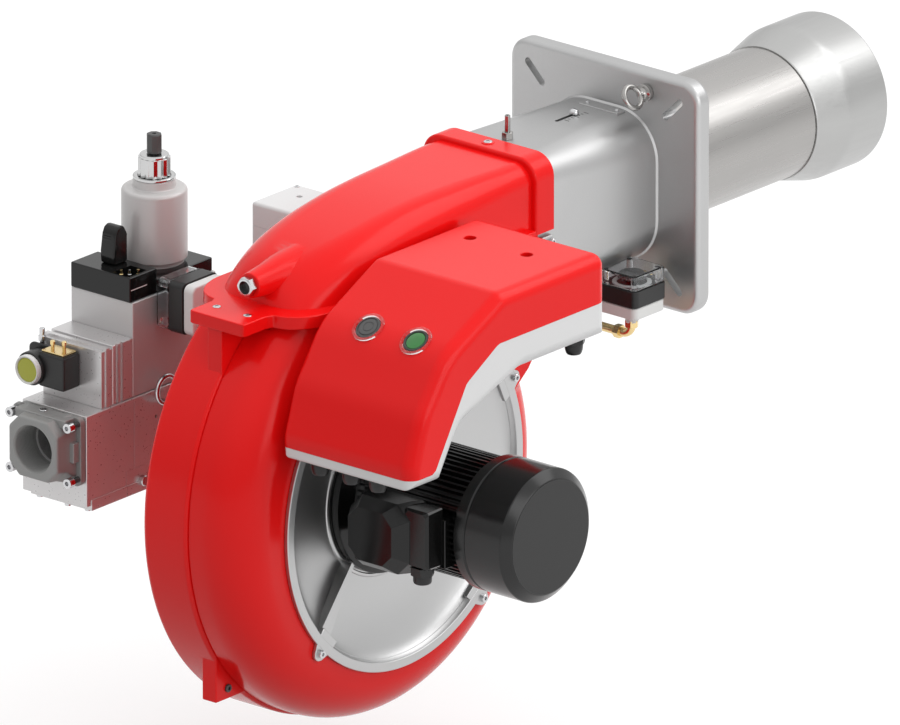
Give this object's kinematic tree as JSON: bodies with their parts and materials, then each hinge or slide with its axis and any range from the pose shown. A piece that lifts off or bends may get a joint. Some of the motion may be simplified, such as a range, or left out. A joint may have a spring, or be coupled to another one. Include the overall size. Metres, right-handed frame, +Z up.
{
  "type": "industrial gas burner",
  "caption": "Monobloc gas burner: scroll fan with motor and air damper, gas train with valve, control box, and a square flange with an adjustable firing head in a flared blast tube.",
  "frame": {"origin": "centre of the mounting flange's boiler face, on the axis of the blast tube", "axes": "+Y is the firing direction, +X the motor side, +Z up"},
  "size_m": [0.675, 1.2067, 0.691],
  "materials": {
    "cast_aluminium": "satin cast",
    "brushed_steel": "brushed",
    "red_paint": "gloss",
    "black_paint": "semi-gloss",
    "black_plastic": "fine texture",
    "grey_plastic": "fine texture",
    "clear_plastic": "clear",
    "brass": "satin",
    "steel": "bright",
    "white_plastic": "fine texture",
    "green_lens": "gloss",
    "yellow_lens": "gloss"
  },
  "bodies": {
    "burner": {"head_casting": "cast_aluminium", "flare_sleeve": "cast_aluminium", "motor_plate": "cast_aluminium", "intake_box": "cast_aluminium", "gas_elbow": "cast_aluminium", "valve_body": "cast_aluminium", "valve_upper": "cast_aluminium", "gas_inlet": "cast_aluminium", "blast_tube": "brushed_steel", "scroll_housing": "red_paint", "duct_cover": "red_paint", "control_cover": "red_paint", "motor_frame": "black_paint", "fan_cowl": "black_paint", "terminal_box": "black_plastic", "motor_gland": "black_plastic", "gland_1": "black_plastic", "gland_2": "black_plastic", "gland_3": "black_plastic", "gland_4": "black_plastic", "reset_switch": "black_plastic", "flame_switch": "black_plastic", "air_switch_body": "black_plastic", "gas_switch_body": "black_plastic", "valve_terminals": "black_plastic", "solenoid_plug": "black_plastic", "valve_plug": "black_plastic", "control_base": "grey_plastic", "servomotor": "grey_plastic", "air_switch_cover": "clear_plastic", "gas_switch_cover": "clear_plastic", "pressure_nipple": "brass", "air_switch_elbow": "brass", "sight_glass": "steel", "gas_manifold": "steel", "valve_eye": "steel", "eyebolt": "steel", "solenoid": "white_plastic", "air_switch_base": "white_plastic", "gas_switch_base": "white_plastic", "indicator_lens": "yellow_lens"},
    "fan": {"impeller": "steel", "motor_shaft": "steel", "cooling_fan": "black_plastic"},
    "damper": {"damper_blade": "steel"},
    "firing_head": {"gas_lance": "steel", "diffuser_disc": "steel", "electrode": "white_plastic", "index_screw": "steel"},
    "reset_key": {"reset_button": "grey_plastic"},
    "flame_key": {"flame_button": "green_lens"},
    "air_dial": {"air_switch_dial": "grey_plastic"},
    "gas_dial": {"gas_switch_dial": "grey_plastic"},
    "flow_adjuster": {"adjuster_cap": "steel", "adjuster_pin": "steel"}
  },
  "joints": [
    {"name": "fan_spin", "type": "hinge", "parent": "burner", "child": "fan", "pos_m": [0, -0.502, -0.254], "axis": [1, 0, 0], "continuous": true},
    {"name": "damper_turn", "type": "hinge", "parent": "burner", "child": "damper", "pos_m": [-0.134, -0.419, -0.2], "axis": [0, 0, 1], "range_deg": [0, 90]},
    {"name": "head_adjust", "type": "slide", "parent": "burner", "child": "firing_head", "axis": [0, 1, 0], "range_m": [-0.03, 0]},
    {"name": "reset_press", "type": "slide", "parent": "burner", "child": "reset_key", "axis": [0, 0.4402, -0.8979], "range_m": [0, 0.002], "stiffness_N_per_m": 400, "springref_m": -0.003},
    {"name": "flame_press", "type": "slide", "parent": "burner", "child": "flame_key", "axis": [0, 0.4402, -0.8979], "range_m": [0, 0.002], "stiffness_N_per_m": 400, "springref_m": -0.003},
    {"name": "air_dial_turn", "type": "hinge", "parent": "burner", "child": "air_dial", "pos_m": [0.094, -0.084, -0.112], "axis": [0, 0, 1], "range_deg": [0, 300]},
    {"name": "gas_dial_turn", "type": "hinge", "parent": "burner", "child": "gas_dial", "pos_m": [-0.2163, -0.535, -0.07], "axis": [-1, 0, 0], "range_deg": [0, 300]},
    {"name": "flow_turn", "type": "hinge", "parent": "burner", "child": "flow_adjuster", "pos_m": [-0.3, -0.506, 0.058], "axis": [0, 0, 1], "range_deg": [0, 300]}
  ]
}
